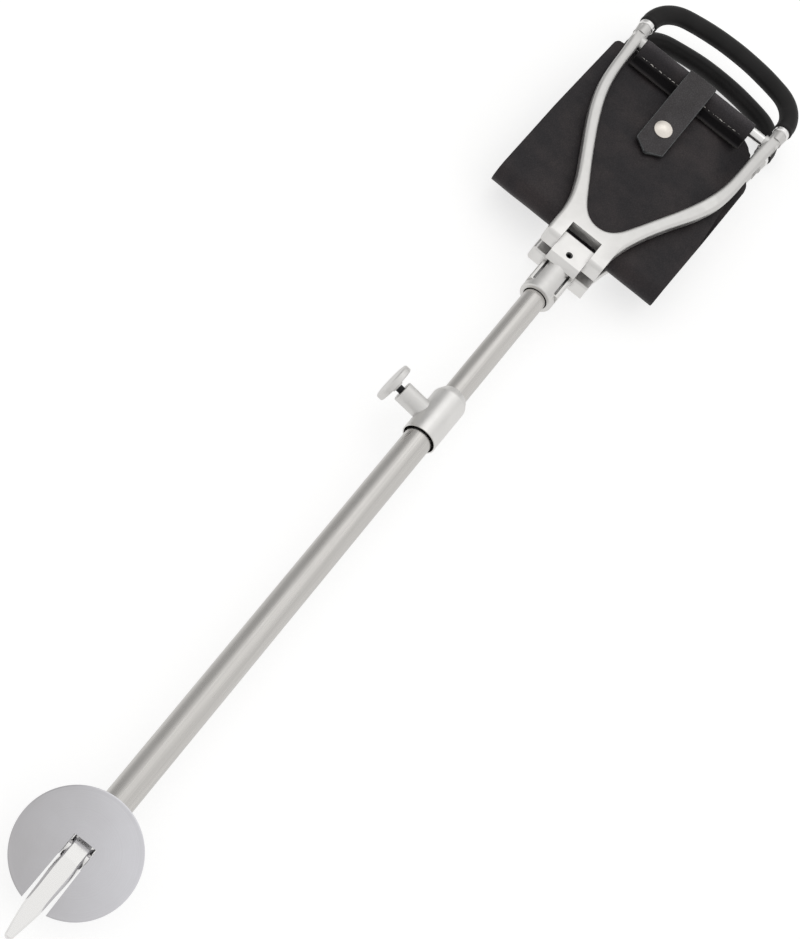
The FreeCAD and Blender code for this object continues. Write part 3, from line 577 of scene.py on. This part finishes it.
def polished(name, colour, rough):
    """Bright metal with faint handling marks."""
    s = Shader(name, colour, rough, 1.0)
    marks = s.noise(s.place((300, 40, 300)), 1.0, 5, 0.65)
    cloud = s.noise(s.place(), 60, 3)
    s.set(Roughness=s.math("ADD", s.ramp(marks, 0.4, 0.7, rough, rough + 0.09),
                           s.ramp(cloud, 0.4, 0.7, 0, 0.05)),
          Normal=s.bump(marks, 0.05, 0.0002))
    return s.material


def turned_disc(name, colour, rough, centre, axis):
    """Lathe-turned plate: rings round its axis, the soft fans of light that they give, and a painted
    sheen that makes one side of the plate lighter and bluer and the other darker.
    """
    s = Shader(name, colour, rough, 1.0)
    offset = s.node("VectorMath", operation="SUBTRACT")
    s.tree.links.new(s.node("TexCoord").outputs["Object"], offset.inputs[0])
    offset.inputs[1].default_value = centre
    along = s.node("VectorMath", operation="DOT_PRODUCT")
    s.tree.links.new(offset.outputs["Vector"], along.inputs[0])
    along.inputs[1].default_value = axis
    lift = s.node("VectorMath", operation="SCALE")
    lift.inputs[0].default_value = axis
    s.tree.links.new(along.outputs["Value"], lift.inputs["Scale"])
    radial = s.node("VectorMath", operation="SUBTRACT")
    s.tree.links.new(offset.outputs["Vector"], radial.inputs[0])
    s.tree.links.new(lift.outputs["Vector"], radial.inputs[1])
    distance = s.node("VectorMath", operation="LENGTH")
    s.tree.links.new(radial.outputs["Vector"], distance.inputs[0])
    ring_at = s.node("CombineXYZ", {"X": distance.outputs["Value"]}).outputs["Vector"]
    rings = s.noise(ring_at, 2300, 4, 0.65)
    cloud = s.noise(s.place(), 45, 3)
    # Painted sheen: lighter and bluer towards one side of the plate, darker towards the other.
    across = s.node("VectorMath", operation="DOT_PRODUCT")
    s.tree.links.new(radial.outputs["Vector"], across.inputs[0])
    across.inputs[1].default_value = DISC_PAINTED_SHEEN_SIDE
    fan = s.math("ADD", across.outputs["Value"], s.ramp(cloud, 0.3, 0.7, -0.008, 0.008))
    base = s.blend(s.ramp(fan, -0.034, 0.036, 0, 1), tuple(c * 0.84 for c in colour), DISC_PAINTED_SHEEN)
    s.set(Base_Color=s.blend(s.ramp(rings, 0.35, 0.65, 0.25, 0), base, tuple(c * 0.7 for c in colour)),
          Roughness=s.ramp(cloud, 0.3, 0.7, rough - 0.06, rough + 0.06),
          Normal=s.bump(rings, 0.12, 0.0002), Anisotropic=0.6, Tangent=radial.outputs["Vector"])
    return s.material


def hide(name, colour, tint, rough, grain=1.0):
    """Finished leather: pebbled grain, fine creases, uneven dyeing, a soft waxed sheen, and the painted
    sheen and painted shade carried on the mesh.
    """
    s = Shader(name, colour, rough)
    at = s.place(rest=True)
    warped = s.node("VectorMath", operation="ADD")
    s.tree.links.new(at, warped.inputs[0])
    wobble = s.node("VectorMath", operation="SCALE")
    s.put(wobble, {"Scale": 0.0012})
    swirl = s.node("TexNoise", {"Vector": at, "Scale": 420.0}).outputs["Color"]
    s.tree.links.new(swirl, wobble.inputs[0])
    s.tree.links.new(wobble.outputs["Vector"], warped.inputs[1])
    cells = s.node("TexVoronoi", {"Vector": warped.outputs["Vector"], "Scale": 620.0},
                   feature="DISTANCE_TO_EDGE").outputs["Distance"]
    pebble = s.ramp(cells, 0.0, 0.22, 0, 1)
    pores = s.noise(at, 2400, 2)
    crease = s.noise(s.place((1, 0.45, 1), rest=True), 130, 6, 0.62)
    crease = s.ramp(crease, 0.47, 0.53, 0, 1)
    cloud = s.noise(at, 34, 4, 0.55)
    # Mottling with painted sheen and painted shade, read from the mesh.
    rubbing_and_painted_light = s.node("Attribute", attribute_name="rubbing_and_painted_light").outputs["Fac"]
    dye_and_painted_light = s.blend(s.ramp(cloud, 0.4, 0.64, 0, 1), colour, tint)
    # Painted sheen: lighter where the value is above 0.
    dye_and_painted_light = s.blend(s.ramp(rubbing_and_painted_light, 0, 1, 0, 1), dye_and_painted_light, tuple(c * 2.9 for c in colour))
    # Painted shade: darker where the value is below 0.
    dye_and_painted_light = s.blend(s.ramp(rubbing_and_painted_light, -1, 0, 1, 0), dye_and_painted_light, tuple(c * 0.12 for c in colour))
    pit = s.math("SUBTRACT", 1.0, pebble)
    s.set(Base_Color=s.blend(s.math("MULTIPLY", pit, 0.5), dye_and_painted_light, tuple(c * 0.5 for c in colour)),
          Roughness=s.math("ADD", s.ramp(cloud, 0.35, 0.65, rough + 0.07, rough - 0.06),
                           s.math("MULTIPLY", pit, 0.15)),
          Normal=s.bump(pores, 0.10 * grain, 0.0001,
                        s.bump(pebble, 0.26 * grain, 0.00012, s.bump(crease, 0.10 * grain, 0.0004))))
    s.set(**{"Specular IOR Level": s.ramp(rubbing_and_painted_light, -1, 0.6, 0.04, 0.36)})
    return s.material


def fibre(name, colour, rough=0.85):
    """Raw cut edge or thread: dull, with short streaks."""
    s = Shader(name, colour, rough)
    strands = s.noise(s.place((500, 500, 2400), rest=True), 1.0, 4, 0.7)
    dark = tuple(c * 0.35 for c in colour)
    s.set(Base_Color=s.blend(s.ramp(strands, 0.38, 0.6, 0, 1), dark, colour),
          Normal=s.bump(strands, 0.35, 0.0002))
    return s.material


def waxed_thread(name, colour):
    """Thread that is pale where rubbing has bared it and dyed dark elsewhere."""
    s = Shader(name, colour, 0.6)
    lay = {"Vector": s.place((1, 0.6, 1), rest=True), "Scale": 320.0, "Distortion": 1.0}
    twist = s.node("TexWave", lay, bands_direction="DIAGONAL").outputs["Fac"]
    rubbing_and_painted_light = s.noise(s.place(rest=True), 230, 3, 0.6)
    base = s.blend(s.ramp(rubbing_and_painted_light, 0.44, 0.56, 0, 1), (0.02, 0.018, 0.018), colour)
    s.set(Base_Color=base, Normal=s.bump(twist, 0.5, 0.0002))
    return s.material


def soft_grip(name, colour, rough):
    """Dense moulded foam: fine closed cells under a dull skin."""
    s = Shader(name, colour, rough)
    at = s.place(rest=True)
    cell = s.noise(at, 1900, 3, 0.6)
    dimple = s.noise(at, 520, 2)
    cloud = s.noise(at, 40, 3)
    s.set(Base_Color=s.blend(s.ramp(cloud, 0.35, 0.65, 0, 1), colour, tuple(c * 1.5 for c in colour)),
          Roughness=s.ramp(cell, 0.35, 0.7, rough - 0.06, rough + 0.1),
          Normal=s.bump(cell, 0.22, 0.0002, s.bump(dimple, 0.12, 0.0004)))
    s.set(**{"Specular IOR Level": 0.2})
    return s.material


def floor_material():
    """Pale sweep, bright enough to read as white with only a breath of shadow."""
    s = Shader("floor_paper", (0.45, 0.45, 0.45), 0.9)
    tooth = s.noise(s.place(), 900, 2)
    s.set(Normal=s.bump(tooth, 0.02, 0.0002))
    s.set(**{"Emission Color": (1, 1, 1, 1), "Emission Strength": 0.66, "Specular IOR Level": 0.1})
    return s.material


ALLOY = (0.79, 0.782, 0.77)
DISC_TILT = math.radians(23)
# Painted sheen on the disc: the direction it lightens towards and the colour it lightens to.
DISC_PAINTED_SHEEN_SIDE = (0.82, 0.50, 0.21)
DISC_PAINTED_SHEEN = (0.80, 0.80, 0.84)
DISC_AXIS = (0, -math.sin(DISC_TILT), math.cos(DISC_TILT))
TUBE = drawn_tube("polished_tube", (0.67, 0.655, 0.635), 0.27)
CAST = cast_metal("cast_alloy", ALLOY, 0.41)
BRIGHT = polished("bright_steel", (0.90, 0.895, 0.89), 0.16)
DISC = turned_disc("satin_steel", (0.67, 0.66, 0.68), 0.40, tuple(middle("disc_pivot_pin")), DISC_AXIS)
PIN = polished("steel_pin", (0.62, 0.61, 0.60), 0.3)
BLACKED = cast_metal("black_steel", (0.035, 0.035, 0.037), 0.38, 0.5)
BRASS = polished("brass", (0.72, 0.55, 0.27), 0.3)
NYLON = soft_grip("black_nylon", (0.03, 0.03, 0.03), 0.45)
NICKEL = polished("nickel", (0.84, 0.79, 0.73), 0.27)
RUBBER = soft_grip("grip_rubber", (0.0105, 0.0100, 0.0102), 0.5)
BLACK_HIDE = hide("black_leather", (0.0205, 0.0180, 0.0205), (0.0350, 0.0275, 0.0285), 0.42)
STRAP_HIDE = hide("strap_leather", (0.054, 0.050, 0.052), (0.070, 0.066, 0.069), 0.55, 0.8)
CUT_EDGE = fibre("cut_edge", (0.030, 0.027, 0.026))
STRAP_EDGE = fibre("strap_edge", (0.13, 0.135, 0.14))
# Painted highlight: a pale cut edge standing in for light caught along the pared edge.
PAINTED_HIGHLIGHT_EDGE = fibre("painted_highlight_edge", (0.62, 0.60, 0.58))
THREAD = waxed_thread("thread", (0.55, 0.53, 0.50))
LOOKS = {"polished_tube": TUBE, "cast_alloy": CAST, "bright_steel": BRIGHT, "satin_steel": DISC,
         "steel_pin": PIN, "black_steel": BLACKED, "brass": BRASS, "black_nylon": NYLON,
         "nickel": NICKEL, "grip_rubber": RUBBER, "black_leather": BLACK_HIDE,
         "strap_leather": STRAP_HIDE, "thread": THREAD}


def dress_cad():
    """Give every carried-over CAD node the look of its record slot."""
    for row in frame["record"]["subparts"]:
        node = frame["nodes"][row["node"]]
        look = LOOKS[row["material_slot"]]
        if node.data.materials:
            for i in range(len(node.data.materials)):
                node.data.materials[i] = look
        else:
            node.data.materials.append(look)


def make_sling(side):
    word = "front" if side > 0 else "back"
    grid, normal, thick, heights = sling_grid(side)
    skive = None
    if side > 0:
        below = np.arange(len(heights)) > int(np.argmax(heights))
        # On this stretch of the front's right edge the cut edge is pared back and takes a painted
        # highlight.
        skive = 1.5 * smooth((heights - 84) / 42) * smooth((176 - heights) / 30) * below
    below_bar = (np.arange(len(heights)) > int(np.argmax(heights)) + 4)[:, None]
    # Random mottling with painted sheen and painted shade, stored on the mesh for the leather material.
    wear_and_painted_light = mottle_and_painted_light(grid[:, :, 0], grid[:, :, 1], side, below_bar)
    if side < 0:
        grid = grid * (1, 1, -1)
        normal = normal * (1, 1, -1)
    obj = leather("sling_" + word, grid, normal, thick, [BLACK_HIDE, CUT_EDGE, PAINTED_HIGHLIGHT_EDGE],
                  skive=skive, flip=side < 0, seam=True)
    rubbing_and_painted_light = np.zeros(len(obj.data.vertices), np.float32)
    rubbing_and_painted_light[:wear_and_painted_light.size] = np.clip(wear_and_painted_light, -1, 1).ravel()
    obj.data.attributes.new("rubbing_and_painted_light", "FLOAT", "POINT").data.foreach_set("value", rubbing_and_painted_light)
    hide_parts(word + "_seat_leather", word + "_seat_fold")
    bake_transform(obj)
    row = stitch_row("stitches_" + word, side, THREAD, 2.0 + side)
    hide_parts(word + "_stitching")
    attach(row, word + "_panel")
    return obj


def make_strap():
    grid, normal = strap_grid()
    normal = -normal
    thick = np.full(len(grid), STRAP_T)
    obj = leather("snap_strip", grid, normal, thick, [STRAP_HIDE, STRAP_EDGE], flip=True)
    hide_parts("snap_strap", "strap_anchor")
    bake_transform(obj)
    return obj


def make_grips():
    for side, word in ((1, "front"), (-1, "back")):
        obj = grip("grip_" + word, side, RUBBER)
        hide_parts(word + "_grip_cover")
        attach(obj, word + "_handle")


# --- stage -----------------------------------------------------------------------------------
AIM = (3.62, -238.97, 0.38)     # from the stick's axis at the heels, like every other place here
DISTANCE = 2.0597
AZIMUTH = 1.99
ELEVATION = 57.10
ROLL = 37.09
LENS = 109.7
FLOOR_DROP = 0.002              # the floor lies this far under the stick, in metres
FLOOR_REACH = 6.0


def make_camera():
    data = bpy.data.cameras.new("camera")
    camera = bpy.data.objects.new("camera", data)
    bpy.context.scene.collection.objects.link(camera)
    turn, rise = math.radians(AZIMUTH), math.radians(ELEVATION)
    back = Vector((math.sin(turn) * math.cos(rise), -math.cos(turn) * math.cos(rise), math.sin(rise)))
    camera.location = Vector(place(AIM)) + back * DISTANCE
    camera.rotation_mode = "QUATERNION"
    roll = Quaternion((0, 0, 1), math.radians(ROLL))
    camera.rotation_quaternion = (-back).to_track_quat("-Z", "Y") @ roll
    data.lens = LENS
    data.clip_start, data.clip_end = 0.05, 50
    bpy.context.scene.camera = camera


def make_floor():
    corners = [(-FLOOR_REACH, -FLOOR_REACH), (FLOOR_REACH, -FLOOR_REACH),
               (FLOOR_REACH, FLOOR_REACH), (-FLOOR_REACH, FLOOR_REACH)]
    level = CAD_BOX[0].z - FLOOR_DROP
    mesh = bpy.data.meshes.new("floor")
    mesh.from_pydata([(x, y, level) for x, y in corners], [], [(0, 1, 2, 3)])
    mesh.materials.append(floor_material())
    floor = bpy.data.objects.new("floor", mesh)
    floor.visible_glossy = False
    bpy.context.scene.collection.objects.link(floor)


def soft_box(name, spot, target, size, power):
    data = bpy.data.lights.new(name, "AREA")
    data.shape = "RECTANGLE"
    data.size, data.size_y = size
    data.energy = power
    lamp = bpy.data.objects.new(name, data)
    lamp.location = spot
    lamp.rotation_mode = "QUATERNION"
    lamp.rotation_quaternion = (Vector(target) - Vector(spot)).to_track_quat("-Z", "Y")
    bpy.context.scene.collection.objects.link(lamp)


# Soft glows and shades of the studio round the object: direction, width in degrees, brightness.
GLOWS = [((0.175, 0.543, 0.82), 28, 0.13), ((-0.79, 0.543, 0.29), 43, -0.42),
         ((0.643, 0.543, 0.54), 17, -0.10), ((0.0, -0.9, 0.43), 60, -0.12)]
ROOM = 0.86
# The one lamp, in the frame's metres: where it hangs, where it points, its size and its watts.
KEY_SPOT, KEY_TARGET = (-0.35, 0.95, 1.35), (0.0, 0.3, 0.03)
KEY_SIZE, KEY_POWER = (1.1, 0.8), 0.9


def make_room():
    world = bpy.data.worlds.new("studio")
    world.use_nodes = True
    bpy.context.scene.world = world
    tree = world.node_tree
    background = tree.nodes["Background"]
    towards = tree.nodes.new("ShaderNodeTexCoord").outputs["Generated"]
    total = None
    for direction, width, strength in GLOWS:
        dot = tree.nodes.new("ShaderNodeVectorMath")
        dot.operation = "DOT_PRODUCT"
        tree.links.new(towards, dot.inputs[0])
        dot.inputs[1].default_value = Vector(direction).normalized()
        fade = tree.nodes.new("ShaderNodeMapRange")
        fade.interpolation_type = "SMOOTHSTEP"
        tree.links.new(dot.outputs["Value"], fade.inputs["Value"])
        fade.inputs["From Min"].default_value = math.cos(math.radians(width))
        fade.inputs["From Max"].default_value = 1.0
        fade.inputs["To Min"].default_value = 0.0
        fade.inputs["To Max"].default_value = strength
        add = tree.nodes.new("ShaderNodeMath")
        add.operation = "ADD"
        tree.links.new(fade.outputs["Result"], add.inputs[0])
        add.inputs[1].default_value = ROOM
        if total is not None:
            tree.links.new(total, add.inputs[1])
        total = add.outputs["Value"]
    tree.links.new(total, background.inputs["Strength"])
    background.inputs["Color"].default_value = (1, 0.995, 0.985, 1)


def make_lights():
    soft_box("key", KEY_SPOT, KEY_TARGET, KEY_SIZE, KEY_POWER)


dress_cad()
make_sling(1)
make_sling(-1)
make_strap()
make_grips()
make_camera()
make_floor()
make_room()
make_lights()
bpy.context.scene.view_settings.view_transform = "Standard"
